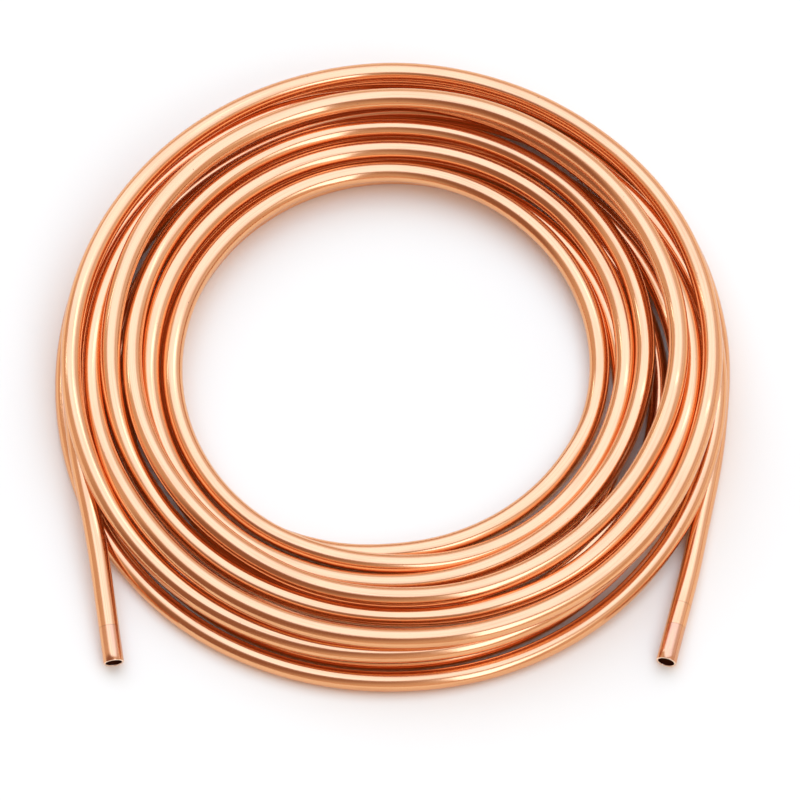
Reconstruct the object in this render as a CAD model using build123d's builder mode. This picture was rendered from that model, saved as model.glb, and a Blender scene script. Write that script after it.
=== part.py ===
"""A coil of soft copper tube, wound loosely in layers, lying flat with both ends free."""

import os
from math import cos, floor, radians, sin, sqrt

from build123d import *

# The tube
tube_outer = 10.0
tube_wall = 1.0

# The coil lies on the plane Z = 0 with the Z axis through its eye. Travel along the tube runs
# clockwise seen from above, in turns: 0 is on the left, 0.25 far, 0.5 right and 0.75 near.
stations_per_turn = 18
last_turn = 11.5
lead_in = 0.5 / stations_per_turn

# Each tail leaves the coil straight over one step between stations, bends by a few degrees
# and ends in a straight run
tail_bend = 26.0
tail_end = 40.0
first_tail_turn = -2.0
last_tail_turn = -4.0

# Radius of the tube's centreline at eight sides of each turn, from the left side on
sides = 8
turn_radii = [
    (158.0, 157.0, 155.5, 154.0, 149.0, 150.0, 149.0, 154.5),
    (158.0, 160.5, 165.0, 160.5, 155.0, 152.5, 145.5, 145.5),
    (148.0, 148.5, 147.5, 142.5, 145.5, 140.5, 130.0, 132.5),
    (138.5, 144.5, 144.0, 142.5, 138.5, 128.5, 122.0, 122.5),
    (128.0, 134.5, 135.0, 132.0, 122.0, 113.5, 110.0, 116.5),
    (119.5, 123.0, 123.0, 120.5, 112.5, 104.5, 99.5, 105.0),
    (108.5, 110.5, 111.0, 106.0, 100.0, 91.5, 91.0, 102.5),
    (109.5, 113.0, 114.5, 113.0, 111.5, 118.5, 119.0, 119.5),
    (120.0, 123.5, 125.0, 125.0, 129.5, 131.0, 131.5, 132.5),
    (135.0, 134.5, 135.5, 137.0, 140.0, 146.5, 148.3, 151.0),
    (149.0, 146.5, 146.0, 150.0, 157.5, 159.5, 159.3, 162.5),
    (161.0, 163.5, 166.0, 164.5, 159.5, 160.0, 161.0, 161.0),
]

# The stretches of tube in the order in which they lie on one another, as first and last turn
laid = [
    (11, 12), (0.15, 0.55), (7, 11), (-1, 0.15), (0.55, 0.94), (6, 7), (5, 6), (4, 5), (2, 3),
    (3, 4), (0.94, 2),
]
spacing = 10.2
sag = 1.2
settling_rounds = 200


def wound_radius(turn):
    """Radius of the wound tube after a number of turns, smooth between the sides."""
    around = [radius for row in turn_radii for radius in row]
    side = floor(turn * sides)
    part = turn * sides - side
    a, b, c, d = (around[min(max(side + step, 0), len(around) - 1)] for step in (-1, 0, 1, 2))
    return b + part / 2 * (c - a + part * (2 * a - 5 * b + 4 * c - d + part * (3 * (b - c) + d - a)))


def plan_radius(turn):
    """Radius with the start of both tails, which leave the first and last turn as tangents."""
    held = min(max(turn, -lead_in), last_turn + lead_in)
    return wound_radius(held) / cos(radians(360 * (turn - held)))


def laid_place(turn):
    """Place of a stretch of tube in the order of laying."""
    return next(place for place, (first, last) in enumerate(laid) if first <= turn < last)


def settled_heights(turns, radii):
    """Height of the tube over the floor: each stretch rests on those laid before it."""
    heights = [tube_outer / 2] * len(turns)
    places = [laid_place(turn) for turn in turns]
    rests = []
    for here, radius in enumerate(radii):
        under = []
        for there in range(here % stations_per_turn, len(turns), stations_per_turn):
            gap = abs(radius - radii[there])
            if gap < spacing and places[there] < places[here]:
                under.append((there, sqrt(spacing**2 - gap**2)))
        rests.append(under)
    for _ in range(settling_rounds):
        for here, under in enumerate(rests):
            carried = [heights[there] + rise for there, rise in under]
            if 0 < here < len(turns) - 1:
                carried.append((heights[here - 1] + heights[here + 1]) / 2 - sag)
            heights[here] = max([tube_outer / 2] + carried)
    return heights


def tail_run(last, before, turn):
    """Start and tip of the straight run that ends a tail, going down to the floor at its tip."""
    level = Vector(last.X - before.X, last.Y - before.Y, 0).normalized()
    drop = last.Z - tube_outer / 2
    bend = last + level.rotate(Axis.Z, turn / 2) * tail_bend
    tip = bend + level.rotate(Axis.Z, turn) * tail_end
    return bend - Vector(0, 0, drop * tail_bend / (tail_bend + tail_end)), tip - Vector(0, 0, drop)


wound_steps = round((last_turn + 2 * lead_in) * stations_per_turn)
turns = [step / stations_per_turn - lead_in for step in range(-1, wound_steps + 2)]
radii = [plan_radius(turn) for turn in turns]
heights = settled_heights(turns, radii)
centres = [
    Vector(-radius * cos(radians(360 * turn)), radius * sin(radians(360 * turn)), height)
    for turn, radius, height in zip(turns, radii, heights)
]
first_bend, first_tip = tail_run(centres[0], centres[1], first_tail_turn)
last_bend, last_tip = tail_run(centres[-1], centres[-2], last_tail_turn)
centres = [first_tip, first_bend, *centres, last_bend, last_tip]

# Direction of the tube at each station: level where it lies on the floor, and along the
# straight runs at their stations
directions = [(centres[1] - centres[0]).normalized()] * 2
for before, here, after in zip(centres[1:], centres[2:-2], centres[3:]):
    rise = after.Z - before.Z if here.Z > tube_outer / 2 else 0
    directions.append(Vector(after.X - before.X, after.Y - before.Y, rise).normalized())
directions += [(centres[-1] - centres[-2]).normalized()] * 2

runs = [Line(centres[0], centres[1])]
for here in range(1, len(centres) - 2):
    start, end = centres[here], centres[here + 1]
    leaving, arriving = directions[here], directions[here + 1]
    # Two arcs that share a tangent at the point where they meet
    chord = end - start
    lean = chord.dot(leaving + arriving)
    bend = 2 * (1 - leaving.dot(arriving))
    reach = (sqrt(lean**2 + bend * chord.dot(chord)) - lean) / bend
    meeting = (start + end + (leaving - arriving) * reach) / 2
    runs.append(TangentArc(start, meeting, tangent=leaving))
    runs.append(TangentArc(meeting, end, tangent=-arriving, tangent_from_first=False))
runs.append(Line(centres[-2], centres[-1]))
centreline = Wire(runs)


def circle(radius, station):
    """Circle square to the centreline at its start (0) or its end (1)."""
    square = Plane(origin=centreline @ station, z_dir=centreline % station)
    return Wire(Edge.make_circle(radius, square))


# The outside and the bore are swept along the centreline and closed by the two open ends,
# which are cut square and show the wall
tube_bore = tube_outer - 2 * tube_wall
outside = Shell.sweep(circle(tube_outer / 2, 0), centreline)
bore = Shell.sweep(circle(tube_bore / 2, 0), centreline)
ends = [Face(circle(tube_outer / 2, station), [circle(tube_bore / 2, station)]) for station in (0, 1)]

wound = Solid(Shell([*outside.faces(), *bore.faces(), *ends]))

# The origin is on the floor under the middle of the coil's outline
middle = wound.bounding_box().center()
with BuildPart() as copper_tube:
    add(Pos(-middle.X, -middle.Y, 0) * wound)

copper_tube.part.label = "copper_tube"
os.makedirs("parts", exist_ok=True)
export_step(copper_tube.part, "parts/copper_tube.step")

print("length", round(centreline.length, 1), "volume", round(copper_tube.part.volume, 1))
print("section times length", round(ends[0].area * centreline.length, 1))
print("middle", middle)
for station in (0, 1):
    print("end", centreline @ station - Vector(middle.X, middle.Y), "direction", centreline % station)
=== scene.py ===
import math
import bpy
from mathutils import Matrix, Vector


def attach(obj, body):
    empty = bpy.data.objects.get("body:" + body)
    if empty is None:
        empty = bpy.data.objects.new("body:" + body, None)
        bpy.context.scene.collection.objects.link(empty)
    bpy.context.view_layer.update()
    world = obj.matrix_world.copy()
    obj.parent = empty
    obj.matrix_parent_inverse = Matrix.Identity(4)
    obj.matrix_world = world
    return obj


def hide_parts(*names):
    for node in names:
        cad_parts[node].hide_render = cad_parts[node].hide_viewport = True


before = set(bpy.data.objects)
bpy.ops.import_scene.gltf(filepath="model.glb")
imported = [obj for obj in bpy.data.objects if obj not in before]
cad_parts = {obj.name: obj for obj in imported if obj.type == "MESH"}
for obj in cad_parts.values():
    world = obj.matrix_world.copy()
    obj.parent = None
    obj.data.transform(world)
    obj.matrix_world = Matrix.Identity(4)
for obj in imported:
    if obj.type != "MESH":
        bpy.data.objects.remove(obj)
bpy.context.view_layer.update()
bpy.context.scene.view_settings.view_transform = "Standard"
mm = 0.001


# sRGB hex to linear colour
def linear(hexColour):
    parts = [int(hexColour[place:place + 2], 16) / 255 for place in (1, 3, 5)]
    return [part / 12.92 if part <= 0.04045 else ((part + 0.055) / 1.055) ** 2.4 for part in parts] + [1.0]


# adds a node with its settings: inputs that are nodes or sockets are linked, the rest are values
def node(tree, kind, inputs=(), **settings):
    made = tree.nodes.new(kind)
    for name, value in settings.items():
        setattr(made, name, value)
    for key, value in dict(inputs).items():
        if isinstance(value, bpy.types.Node):
            value = next(socket for socket in value.outputs if socket.enabled)
        if isinstance(value, bpy.types.NodeSocket):
            tree.links.new(value, made.inputs[key])
        else:
            made.inputs[key].default_value = value
    return made


# the way of the tube, in mm and turns: clockwise seen from above, from the left end
coilPath = {
    "tubeOuter": 10.0,
    "stationsPerTurn": 18,
    "lastTurn": 11.5,
    "tailBend": 26.0,  # each tail bends by a few degrees and ends in a straight run
    "tailEnd": 40.0,
    "tailTurns": (-2.0, -4.0),
    "spacing": 10.2,
    "sag": 1.2,
    "settlingRounds": 200,
    "eye": (0.906521, -3.34393),  # the coil's axis, so that its outline is centred on the origin
    "curveSteps": 24,
    # radius at the left, far left, far, far right, right, near right, near and near left side
    "turnRadii": [
        (158.0, 157.0, 155.5, 154.0, 149.0, 150.0, 149.0, 154.5),
        (158.0, 160.5, 165.0, 160.5, 155.0, 152.5, 145.5, 145.5),
        (148.0, 148.5, 147.5, 142.5, 145.5, 140.5, 130.0, 132.5),
        (138.5, 144.5, 144.0, 142.5, 138.5, 128.5, 122.0, 122.5),
        (128.0, 134.5, 135.0, 132.0, 122.0, 113.5, 110.0, 116.5),
        (119.5, 123.0, 123.0, 120.5, 112.5, 104.5, 99.5, 105.0),
        (108.5, 110.5, 111.0, 106.0, 100.0, 91.5, 91.0, 102.5),
        (109.5, 113.0, 114.5, 113.0, 111.5, 118.5, 119.0, 119.5),
        (120.0, 123.5, 125.0, 125.0, 129.5, 131.0, 131.5, 132.5),
        (135.0, 134.5, 135.5, 137.0, 140.0, 146.5, 148.3, 151.0),
        (149.0, 146.5, 146.0, 150.0, 157.5, 159.5, 159.3, 162.5),
        (161.0, 163.5, 166.0, 164.5, 159.5, 160.0, 161.0, 161.0),
    ],
    # stretches of tube in the order in which they lie on one another
    "laid": [(11, 12), (0.15, 0.55), (7, 11), (-1, 0.15), (0.55, 0.94), (6, 7), (5, 6), (4, 5),
             (2, 3), (3, 4), (0.94, 2)],
}


# the radius after so many turns, on a smooth curve through the four nearest sides, a to d
def woundRadius(turn):
    around = [radius for row in coilPath["turnRadii"] for radius in row]
    sides = len(coilPath["turnRadii"][0])
    side = math.floor(turn * sides)
    part = turn * sides - side
    a, b, c, d = (around[min(max(side + step, 0), len(around) - 1)] for step in (-1, 0, 1, 2))
    return b + part / 2 * (c - a + part * (2 * a - 5 * b + 4 * c - d + part * (3 * (b - c) + d - a)))


# both tails leave the first and last turn as tangents
def planRadius(turn, leadIn):
    held = min(max(turn, -leadIn), coilPath["lastTurn"] + leadIn)
    return woundRadius(held) / math.cos(math.radians(360 * (turn - held)))


# each stretch rests on those laid before it
def settledHeights(turns, radii):
    spacing, perTurn = coilPath["spacing"], coilPath["stationsPerTurn"]
    low = coilPath["tubeOuter"] / 2
    heights = [low] * len(turns)
    places = [next(k for k, (first, last) in enumerate(coilPath["laid"]) if first <= turn < last)
              for turn in turns]
    rests = []
    for here, radius in enumerate(radii):
        under = []
        for there in range(here % perTurn, len(turns), perTurn):
            gap = abs(radius - radii[there])
            if gap < spacing and places[there] < places[here]:
                under.append((there, math.sqrt(spacing**2 - gap**2)))
        rests.append(under)
    for _ in range(coilPath["settlingRounds"]):
        for here, under in enumerate(rests):
            carried = [heights[there] + rise for there, rise in under]
            if 0 < here < len(turns) - 1:
                carried.append((heights[here - 1] + heights[here + 1]) / 2 - coilPath["sag"])
            heights[here] = max([low] + carried)
    return heights


# both points of the straight run that ends a tail, which comes down to the floor at its tip
def tailRun(last, before, degrees):
    bend, end = coilPath["tailBend"], coilPath["tailEnd"]
    level = (last - before) * Vector((1, 1, 0))
    level.normalize()
    drop = Vector((0, 0, last.z - coilPath["tubeOuter"] / 2))
    bendAt = last + Matrix.Rotation(math.radians(degrees / 2), 3, "Z") @ level * bend
    tip = bendAt + Matrix.Rotation(math.radians(degrees), 3, "Z") @ level * end
    return bendAt - drop * bend / (bend + end), tip - drop


# the tube's centres in metres, and its direction at each
def wayOfTube():
    perTurn = coilPath["stationsPerTurn"]
    leadIn = 0.5 / perTurn  # half a step
    steps = round((coilPath["lastTurn"] + 2 * leadIn) * perTurn)
    turns = [step / perTurn - leadIn for step in range(-1, steps + 2)]
    radii = [planRadius(turn, leadIn) for turn in turns]
    heights = settledHeights(turns, radii)
    eyeX, eyeY = coilPath["eye"]
    centres = []
    for turn, radius, height in zip(turns, radii, heights):
        angle = math.radians(360 * turn)
        centres.append(Vector((eyeX - radius * math.cos(angle), eyeY + radius * math.sin(angle), height)))
    firstBend, firstTip = tailRun(centres[0], centres[1], coilPath["tailTurns"][0])
    lastBend, lastTip = tailRun(centres[-1], centres[-2], coilPath["tailTurns"][1])
    centres = [centre * mm for centre in (firstTip, firstBend, *centres, lastBend, lastTip)]
    directions = [(centres[1] - centres[0]).normalized()] * 2
    for before, here, after in zip(centres[1:], centres[2:-2], centres[3:]):
        way = after - before
        if here.z <= coilPath["tubeOuter"] / 2 * mm:
            way.z = 0  # level where it lies on the floor
        directions.append(way.normalized())
    directions += [(centres[-1] - centres[-2]).normalized()] * 2
    return centres, directions


def centrelineCurve():
    centres, directions = wayOfTube()
    curve = bpy.data.curves.new("centreline", "CURVE")
    curve.dimensions = "3D"
    curve.resolution_u = coilPath["curveSteps"]
    spline = curve.splines.new("BEZIER")
    spline.bezier_points.add(len(centres) - 1)
    for k, point in enumerate(spline.bezier_points):
        point.co = centres[k]
        for side, other in (("left", k - 1), ("right", k + 1)):
            other = min(max(other, 0), len(centres) - 1)
            chord = centres[other] - centres[k]
            lean = abs(chord.normalized().dot(directions[k])) if chord.length else 1
            reach = chord.length * 2 / (3 * (1 + lean))  # a circular arc's handle length
            sign = -1 if side == "left" else 1
            setattr(point, f"handle_{side}_type", "FREE")
            setattr(point, f"handle_{side}", centres[k] + directions[k] * reach * sign)
    made = bpy.data.objects.new("centreline", curve)
    bpy.context.collection.objects.link(made)
    return made


# the tube's section and mesh, in mm
tubeLook = {
    "outer": 5.0,  # radius
    "bore": 4.0,  # radius
    "sides": 32,
    "outerStep": 5.0,  # distance between rings along the tube
    "boreStep": 12.0,
    "burr": 0.12,  # edge broken at the cut ends
    "weld": 0.02,  # points nearer than this become one
}


# the cut end: a flat ring with both its edges broken, its rim on the plane Z = 0
def endRing():
    outer, bore, burr = (tubeLook[key] * mm for key in ("outer", "bore", "burr"))
    steps = [(outer, 0.0), (outer - burr, burr), (bore + burr, burr), (bore, 0.0)]
    sides = tubeLook["sides"]
    points = []
    for radius, height in steps:
        for k in range(sides):
            angle = 2 * math.pi * k / sides
            points.append((radius * math.cos(angle), radius * math.sin(angle), height))
    faces = []
    for row in range(len(steps) - 1):
        for k in range(sides):
            following = (k + 1) % sides
            faces.append((row * sides + k, row * sides + following,
                          (row + 1) * sides + following, (row + 1) * sides + k))
    mesh = bpy.data.meshes.new("endRing")
    mesh.from_pydata(points, [], faces)
    made = bpy.data.objects.new("endRing", mesh)
    bpy.context.collection.objects.link(made)
    return made


# sweeps the outside and the bore along the centreline and closes them with the two cut ends; the
# copper reads how far along, which way and where round the tube it is
def tubeTree():
    tree = bpy.data.node_groups.new("drawnTube", "GeometryNodeTree")
    sockets = tree.interface
    sockets.new_socket("Centreline", in_out="INPUT", socket_type="NodeSocketGeometry")
    for name in ("Outer radius", "Bore radius", "Outer step", "Bore step", "Burr", "Weld"):
        sockets.new_socket(name, in_out="INPUT", socket_type="NodeSocketFloat")
    sockets.new_socket("Sides", in_out="INPUT", socket_type="NodeSocketInt")
    sockets.new_socket("End ring", in_out="INPUT", socket_type="NodeSocketObject")
    sockets.new_socket("Metal", in_out="INPUT", socket_type="NodeSocketMaterial")
    sockets.new_socket("Tube", in_out="OUTPUT", socket_type="NodeSocketGeometry")
    given = node(tree, "NodeGroupInput").outputs

    # the rims lie one burr inside the ends of the centreline
    upright = node(tree, "GeometryNodeSetCurveNormal", {"Curve": given["Centreline"]}, mode="Z_UP")
    whole = node(tree, "GeometryNodeCurveLength", {"Curve": upright})
    cutBack = node(tree, "ShaderNodeMath", {0: whole, 1: given["Burr"]}, operation="SUBTRACT")
    cut = node(tree, "GeometryNodeTrimCurve", mode="LENGTH")
    tree.links.new(upright.outputs["Curve"], cut.inputs["Curve"])
    cutAt = [socket for socket in cut.inputs if socket.name in ("Start", "End") and socket.enabled]
    tree.links.new(given["Burr"], cutAt[0])
    tree.links.new(cutBack.outputs[0], cutAt[1])

    def skin(radius, step):
        parted = node(tree, "GeometryNodeResampleCurve", {"Curve": cut, "Length": step}, mode="LENGTH")
        gone = node(tree, "GeometryNodeSplineParameter").outputs["Length"]
        way = node(tree, "GeometryNodeInputTangent")
        marked = parted
        for name, value, kind in (("along", gone, "FLOAT"), ("way", way, "FLOAT_VECTOR")):
            marked = node(tree, "GeometryNodeStoreNamedAttribute",
                          {"Geometry": marked, "Name": name, "Value": value}, data_type=kind, domain="POINT")
        circle = node(tree, "GeometryNodeCurvePrimitiveCircle",
                      {"Resolution": given["Sides"], "Radius": radius})
        place = node(tree, "GeometryNodeInputPosition")
        unit = node(tree, "ShaderNodeVectorMath", {0: place}, operation="NORMALIZE")
        section = node(tree, "GeometryNodeStoreNamedAttribute",
                       {"Geometry": circle, "Name": "section", "Value": unit},
                       data_type="FLOAT_VECTOR", domain="POINT")
        return marked, node(tree, "GeometryNodeCurveToMesh", {"Curve": marked, "Profile Curve": section})

    outerCurve, outside = skin(given["Outer radius"], given["Outer step"])
    _, boreSkin = skin(given["Bore radius"], given["Bore step"])
    boreSkin = node(tree, "GeometryNodeFlipFaces", {"Mesh": boreSkin})
    boreSkin = node(tree, "GeometryNodeStoreNamedAttribute",
                    {"Geometry": boreSkin, "Name": "inside", "Value": 1.0}, data_type="FLOAT", domain="FACE")

    ring = node(tree, "GeometryNodeObjectInfo", {"Object": given["End ring"]})
    cutFace = node(tree, "GeometryNodeStoreNamedAttribute",
                   {"Geometry": ring.outputs["Geometry"], "Name": "cutFace", "Value": 1.0},
                   data_type="FLOAT", domain="FACE")
    tips = []
    # the ring at the start is turned round, so its sections run the other way
    for atStart in (1, 0):
        place = node(tree, "GeometryNodeInputPosition")
        mirrored = node(tree, "ShaderNodeVectorMath",
                        {0: place, 1: (1, 1 - 2 * atStart, 0)}, operation="MULTIPLY")
        unit = node(tree, "ShaderNodeVectorMath", {0: mirrored}, operation="NORMALIZE")
        rim = node(tree, "GeometryNodeStoreNamedAttribute",
                   {"Geometry": cutFace, "Name": "section", "Value": unit},
                   data_type="FLOAT_VECTOR", domain="POINT")
        tip = node(tree, "GeometryNodeCurveEndpointSelection",
                   {"Start Size": atStart, "End Size": 1 - atStart})
        flagged = node(tree, "GeometryNodeStoreNamedAttribute",
                       {"Geometry": outerCurve, "Name": "tip", "Value": tip},
                       data_type="BOOLEAN", domain="POINT")
        points = node(tree, "GeometryNodeCurveToPoints", {"Curve": flagged}, mode="EVALUATED")
        read = node(tree, "GeometryNodeInputNamedAttribute", {"Name": "tip"}, data_type="BOOLEAN")
        put = node(tree, "GeometryNodeInstanceOnPoints",
                   {"Points": points, "Selection": read, "Instance": rim,
                    "Rotation": points.outputs["Rotation"]})
        tips.append(node(tree, "GeometryNodeRotateInstances",
                         {"Instances": put, "Rotation": (math.pi * atStart, 0, 0)}))

    joined = node(tree, "GeometryNodeJoinGeometry")
    for part in (outside, boreSkin, *tips):
        tree.links.new(part.outputs[0], joined.inputs[0])
    real = node(tree, "GeometryNodeRealizeInstances", {"Geometry": joined})
    welded = node(tree, "GeometryNodeMergeByDistance", {"Geometry": real, "Distance": given["Weld"]})
    smooth = node(tree, "GeometryNodeSetShadeSmooth", {"Geometry": welded})
    painted = node(tree, "GeometryNodeSetMaterial", {"Geometry": smooth, "Material": given["Metal"]})
    node(tree, "NodeGroupOutput", {"Tube": painted})
    return tree


# sizes in mm
copperLook = {
    "metal": "#EEB07E",
    "tarnish": "#BE6A40",  # where hands and air have dulled it
    "endMetal": "#D09478",  # pinker and duller on the last stretch before each cut
    "scribe": "#7A4630",  # rings scored round the tube, and specks
    "inside": "#2A0E06",  # painted shade in the bore: near-black brown standing in for the shade down the tube
    "cutMetalAndFloorReflection": "#FFDDC0",  # bare metal of the cut, lightened to pale cream as a painted reflection of the white floor
    # patterns: size round the tube, size along it, detail, roughness
    # the draw lines are coarser than the real ones, so that they show
    "patterns": {
        "lines": (0.35, 83.33, 3.0, 0.6),
        "patches": (3.846, 41.67, 4.0, 0.55),
        "specks": (1.0, 1.1111, 1.0, 0.5),
    },
    # which pattern wears the metal to which colour: from, to, share of the colour
    "wear": [
        ("patches", "tarnish", 0.5, 0.8, 0.3),
        ("lines", "tarnish", 0.5, 0.75, 0.35),
        ("specks", "scribe", 0.76, 0.8, 0.6),
    ],
    "endStretches": (18.0, 20.0),  # from the left and right cut
    "endWear": (0.35, 0.65, 0.6),  # of the patches there: from, to, share
    "secondRing": 32.0,  # from the right cut
    "ringWidth": 0.6,
    "ringShare": 0.22,
    "lineRange": (0.3, 0.7),  # of the lines' pattern, from smoothest to roughest
    "roughness": (0.09, 0.2),
    "endRoughness": 0.04,  # added on the end stretches
    "insideRoughness": 0.3,  # added in the bore
    "stretched": 0.6,  # how much more the lines scatter light round the tube than along it
    "lineDepth": 0.02,
    "lineStrength": 0.08,
    # painted glow: the copper gives off a weak orange light where other copper shuts it in, standing in for
    # light that goes to and fro between strands more often than the renderer follows it:
    # its reach, the share of open sky where it starts and where it is full, and its strength
    "paintedGlow": "#F57E3A",
    "paintedGlowReach": 12.0,
    "paintedGlowOpen": (0.45, 0.1),
    "paintedGlowStrength": 0.055,
}


# Soft annealed copper, drawn through a die and wound: bright orange pink metal with fine lines
# along the tube that stretch its reflections, and a duller skin near the cut ends
def copperMetal(length):
    look = copperLook
    material = bpy.data.materials.new("drawnCopper")
    material.use_nodes = True
    tree = material.node_tree
    shader = tree.nodes["Principled BSDF"]
    shader.inputs["Metallic"].default_value = 1.0

    along, inside, cutFace = (node(tree, "ShaderNodeAttribute", attribute_name=name).outputs["Fac"]
                              for name in ("along", "inside", "cutFace"))
    section, way = (node(tree, "ShaderNodeAttribute", attribute_name=name).outputs["Vector"]
                    for name in ("section", "way"))

    patterns = {}
    for name, (roundSize, alongSize, detail, roughness) in look["patterns"].items():
        across = node(tree, "ShaderNodeVectorMath", {0: section, 3: tubeLook["outer"] / roundSize},
                      operation="SCALE")
        gone = node(tree, "ShaderNodeMath", {0: along, 1: 1 / (alongSize * mm)}, operation="MULTIPLY")
        run = node(tree, "ShaderNodeCombineXYZ", {"Z": gone})
        place = node(tree, "ShaderNodeVectorMath", {0: across, 1: run}, operation="ADD")
        patterns[name] = node(tree, "ShaderNodeTexNoise",
                              {"Vector": place, "Scale": 1.0, "Detail": detail, "Roughness": roughness}
                              ).outputs["Fac"]

    layers = []
    for name, colour, low, high, full in look["wear"]:
        worn = node(tree, "ShaderNodeMapRange",
                    {"Value": patterns[name], "From Min": low, "From Max": high, "To Max": full})
        layers.append((colour, worn))

    # the last stretch before each cut, and the rings scored round the tube
    leftStretch, rightStretch = (stretch * mm for stretch in look["endStretches"])
    fromRight = node(tree, "ShaderNodeMath", {0: length, 1: along}, operation="SUBTRACT")
    nearLeft = node(tree, "ShaderNodeMath", {0: along, 1: leftStretch}, operation="LESS_THAN")
    nearRight = node(tree, "ShaderNodeMath", {0: fromRight, 1: rightStretch}, operation="LESS_THAN")
    nearEnd = node(tree, "ShaderNodeMath", {0: nearLeft, 1: nearRight}, operation="MAXIMUM")
    low, high, full = look["endWear"]
    dulled = node(tree, "ShaderNodeMapRange",
                  {"Value": patterns["patches"], "From Min": low, "From Max": high, "To Max": full})
    dulled = node(tree, "ShaderNodeMath", {0: nearEnd, 1: dulled}, operation="MULTIPLY")
    layers.append(("endMetal", dulled))
    for gone, ring in ((along, leftStretch), (fromRight, rightStretch), (fromRight, look["secondRing"] * mm)):
        scribed = node(tree, "ShaderNodeMath", {0: gone, 1: ring, 2: look["ringWidth"] / 2 * mm},
                       operation="COMPARE")
        scribed = node(tree, "ShaderNodeMath", {0: scribed, 1: look["ringShare"]}, operation="MULTIPLY")
        layers.append(("scribe", scribed))
    # the bore gets a near-black brown that paints the shade down the tube
    # the cut faces get pale cream: bare metal plus a painted reflection of the white floor
    layers += [("inside", inside), ("cutMetalAndFloorReflection", cutFace)]

    metal = linear(look["metal"])
    for colour, share in layers:
        metal = node(tree, "ShaderNodeMix", {"Factor": share, 6: metal, 7: linear(look[colour])},
                     data_type="RGBA")
    tree.links.new(metal.outputs[2], shader.inputs["Base Color"])

    low, high = look["lineRange"]
    smoothest, roughest = look["roughness"]
    rough = node(tree, "ShaderNodeMapRange",
                 {"Value": patterns["lines"], "From Min": low, "From Max": high,
                  "To Min": smoothest, "To Max": roughest})
    for place, more in ((nearEnd, look["endRoughness"]), (inside, look["insideRoughness"])):
        rough = node(tree, "ShaderNodeMath", {0: place, 1: more, 2: rough}, operation="MULTIPLY_ADD")
    tree.links.new(rough.outputs[0], shader.inputs["Roughness"])
    tree.links.new(way, shader.inputs["Tangent"])
    shader.inputs["Anisotropic"].default_value = look["stretched"]
    shader.inputs["Anisotropic Rotation"].default_value = 0.25  # across the tube

    bump = node(tree, "ShaderNodeBump", {"Strength": look["lineStrength"], "Distance": look["lineDepth"] * mm,
                                         "Height": patterns["lines"]})
    tree.links.new(bump.outputs["Normal"], shader.inputs["Normal"])

    # painted glow: a weak orange emission that rises where other copper is near, standing in for light
    # bounced between strands
    opened = node(tree, "ShaderNodeAmbientOcclusion", {"Distance": look["paintedGlowReach"] * mm},
                  samples=4, only_local=True).outputs["AO"]
    low, high = look["paintedGlowOpen"]
    paintedGlow = node(tree, "ShaderNodeMapRange",
                   {"Value": opened, "From Min": low, "From Max": high, "To Max": look["paintedGlowStrength"]})
    shader.inputs["Emission Color"].default_value = linear(look["paintedGlow"])
    tree.links.new(paintedGlow.outputs[0], shader.inputs["Emission Strength"])
    material.cycles.emission_sampling = "NONE"
    return material


def copperTube():
    centreline = centrelineCurve()
    length = sum(spline.calc_length() for spline in centreline.data.splines)
    ring = endRing()
    copper = copperMetal(length)
    tree = tubeTree()
    modifier = centreline.modifiers.new("drawnTube", "NODES")
    modifier.node_group = tree
    values = {"Outer radius": tubeLook["outer"] * mm, "Bore radius": tubeLook["bore"] * mm,
              "Outer step": tubeLook["outerStep"] * mm, "Bore step": tubeLook["boreStep"] * mm,
              "Burr": tubeLook["burr"] * mm, "Weld": tubeLook["weld"] * mm,
              "Sides": tubeLook["sides"], "End ring": ring, "Metal": copper}
    for socket in tree.interface.items_tree:
        if socket.name in values:
            modifier[socket.identifier] = values[socket.name]
    evaluated = centreline.evaluated_get(bpy.context.evaluated_depsgraph_get())
    mesh = bpy.data.meshes.new_from_object(evaluated)
    mesh.name = "copperTube"
    tube = bpy.data.objects.new("copperTube", mesh)
    bpy.context.collection.objects.link(tube)
    for scrap in (centreline, ring):
        bpy.data.objects.remove(scrap)
    print("tube:", round(length, 3), "m,", sum(len(face.vertices) - 2 for face in mesh.polygons), "triangles")
    return tube


tube = copperTube()
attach(tube, "root")
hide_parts("copper_tube")

floorLook = {
    "colour": "#FFF1D6",
    "roughness": 0.9,
    "radius": 8.0,  # m
    "sides": 96,
}


# Matt painted board, pale and without any shine
def paleFloor():
    radius, sides = floorLook["radius"], floorLook["sides"]
    angles = [2 * math.pi * k / sides for k in range(sides)]
    rim = [(radius * math.cos(angle), radius * math.sin(angle), 0.0) for angle in angles]
    mesh = bpy.data.meshes.new("floor")
    mesh.from_pydata(rim, [], [tuple(range(sides))])
    made = bpy.data.objects.new("floor", mesh)
    bpy.context.collection.objects.link(made)
    material = bpy.data.materials.new("paintedFloor")
    material.use_nodes = True
    shader = material.node_tree.nodes["Principled BSDF"]
    shader.inputs["Base Color"].default_value = linear(floorLook["colour"])
    shader.inputs["Roughness"].default_value = floorLook["roughness"]
    shader.inputs["Specular IOR Level"].default_value = 0.0
    mesh.materials.append(material)
    return made


paleFloor()
print("floor laid")

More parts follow.
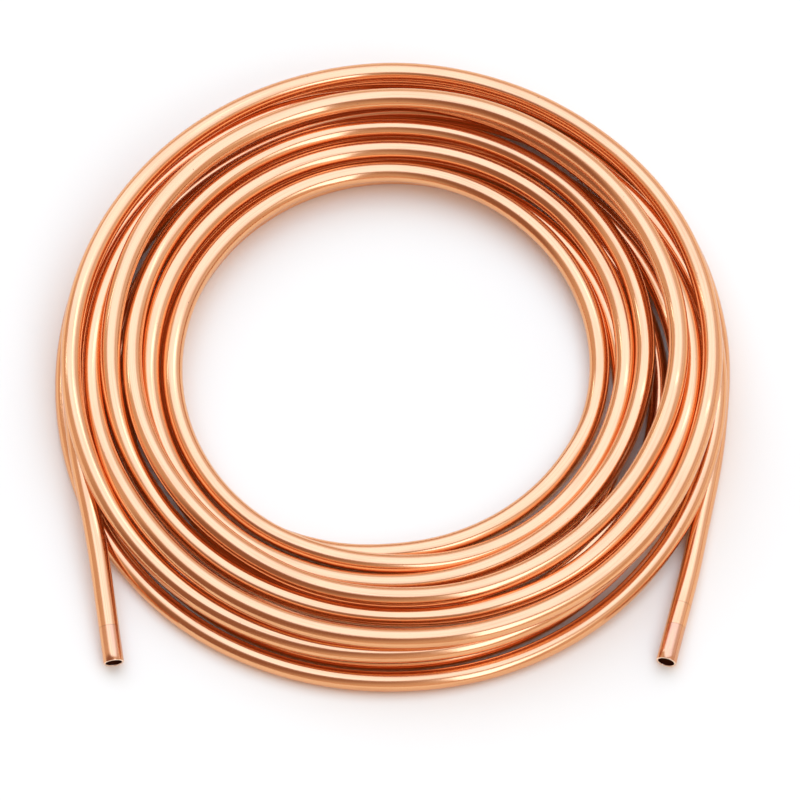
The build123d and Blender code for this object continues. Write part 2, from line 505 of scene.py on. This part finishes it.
# light from panels in a room that is dim and warm towards the left front; a panel is bounded by
# lines in the plane above the coil: (share of x, share of y, limit, softness), where x is sideways
# over upwards and y is away over upwards
studio = {
    "panels": [
        # far and right wall
        {"radiance": (0.88, 0.86, 0.95),
         "edges": [(0.6, 1, 1.0, 0.5)]},
        # round the front lamp
        {"radiance": (1.15, 1.25, 1.4),
         "edges": [(1, 0.28, 0.0, 0.12), (-1, 0, -1.1, 0.3), (0, 1, -1.9, 0.4), (0, -1, 0.6, 0.1)]},
        # broad soft panel overhead and behind
        {"radiance": (1.45, 1.88, 2.75),
         "edges": [(1, 0.55, -0.58, 0.25), (-1, 0, -0.95, 0.45), (-0.6, -1, -1.6, 0.6), (0, 1, -0.34, 0.12)]},
        # lamp at the right front
        {"radiance": (2.2, 2.8, 3.9),
         "edges": [(1, 0.28, 0.0, 0.04), (-1, -0.25, -0.55, 0.1), (0, 1, -3.1, 0.3), (0, -1, 0.63, 0.04)]},
        # narrow lamps at the right and left
        {"radiance": (2.6, 3.6, 4.6),
         "edges": [(1, 0, 0.2, 0.05), (-1, 0, -0.62, 0.05), (0, 1, 0.44, 0.02), (0, -1, -0.53, 0.02)]},
        {"radiance": (2.6, 3.6, 4.6),
         "edges": [(1, 0, -1.65, 0.05), (-1, 0, 1.05, 0.05), (0, 1, 0.72, 0.02), (0, -1, -0.86, 0.02)]},
    ],
    "panelRise": (0.1, 0.25),  # upwards part of a direction where the panels start and are full
    "walls": (0.75, 0.61, 0.52),
    "horizon": (0.9, 0.68, 0.52),
    "wallRise": (0.04, 0.2),
    "dimWall": (0.34, 0.19, 0.14),
    "dimMiddle": (-0.6, -0.54),  # sideways and away
    "dimStretch": 0.5,  # how its size sideways counts
    "dimSize": (0.18, 0.55),  # all dim within the first, all wall beyond the second
    "lowest": 0.02,  # upwards part at the least
}


def studioLight():
    world = bpy.data.worlds.new("studio")
    world.use_nodes = True
    tree = world.node_tree
    direction = node(tree, "ShaderNodeTexCoord").outputs["Generated"]
    parts = node(tree, "ShaderNodeSeparateXYZ", {0: direction}).outputs
    upwards = node(tree, "ShaderNodeMath", {0: parts["Z"], 1: studio["lowest"]}, operation="MAXIMUM")
    sideways = node(tree, "ShaderNodeMath", {0: parts["X"], 1: upwards}, operation="DIVIDE")
    away = node(tree, "ShaderNodeMath", {0: parts["Y"], 1: upwards}, operation="DIVIDE")

    low, high = studio["wallRise"]
    risen = node(tree, "ShaderNodeMapRange", {"Value": parts["Z"], "From Min": low, "From Max": high},
                 interpolation_type="SMOOTHSTEP")
    light = node(tree, "ShaderNodeMix",
                 {"Factor": risen, 6: (*studio["horizon"], 1), 7: (*studio["walls"], 1)}, data_type="RGBA")

    off = node(tree, "ShaderNodeVectorMath", {0: direction, 1: (*studio["dimMiddle"], 0)},
               operation="SUBTRACT")
    off = node(tree, "ShaderNodeVectorMath", {0: off, 1: (studio["dimStretch"], 1, 0)}, operation="MULTIPLY")
    off = node(tree, "ShaderNodeVectorMath", {0: off}, operation="LENGTH").outputs["Value"]
    low, high = studio["dimSize"]
    outside = node(tree, "ShaderNodeMapRange", {"Value": off, "From Min": low, "From Max": high},
                   interpolation_type="SMOOTHSTEP")
    light = node(tree, "ShaderNodeMix", {"Factor": outside, 6: (*studio["dimWall"], 1), 7: light},
                 data_type="RGBA")

    low, high = studio["panelRise"]
    for panel in studio["panels"]:
        inside = node(tree, "ShaderNodeMapRange", {"Value": parts["Z"], "From Min": low, "From Max": high},
                      interpolation_type="SMOOTHSTEP")
        for shareX, shareY, limit, soft in panel["edges"]:
            across = node(tree, "ShaderNodeMath", {0: sideways, 1: shareX}, operation="MULTIPLY")
            across = node(tree, "ShaderNodeMath", {0: away, 1: shareY, 2: across}, operation="MULTIPLY_ADD")
            edge = node(tree, "ShaderNodeMapRange",
                        {"Value": across, "From Min": limit - soft, "From Max": limit + soft},
                        interpolation_type="SMOOTHSTEP")
            inside = node(tree, "ShaderNodeMath", {0: inside, 1: edge}, operation="MULTIPLY")
        light = node(tree, "ShaderNodeMix", {"Factor": inside, 6: light, 7: (*panel["radiance"], 1)},
                     data_type="RGBA")
    tree.links.new(light.outputs[2], tree.nodes["Background"].inputs["Color"])
    bpy.context.scene.world = world


studioLight()
print("light set")

cameraLook = {
    "target": (3.587, -18.944, 20.0),  # mm
    "elevation": 64.8,
    "distance": 7.0,  # m
    "lens": 645.75,
    "sensor": 36,
}


def photoCamera():
    data = bpy.data.cameras.new("camera")
    data.lens = cameraLook["lens"]
    data.sensor_width = cameraLook["sensor"]
    made = bpy.data.objects.new("camera", data)
    bpy.context.collection.objects.link(made)
    tilt = math.radians(cameraLook["elevation"])
    target = Vector(cameraLook["target"]) * mm
    made.location = target + cameraLook["distance"] * Vector((0, -math.cos(tilt), math.sin(tilt)))
    made.rotation_euler = (math.pi / 2 - tilt, 0, 0)
    bpy.context.scene.camera = made


photoCamera()
print("camera set")
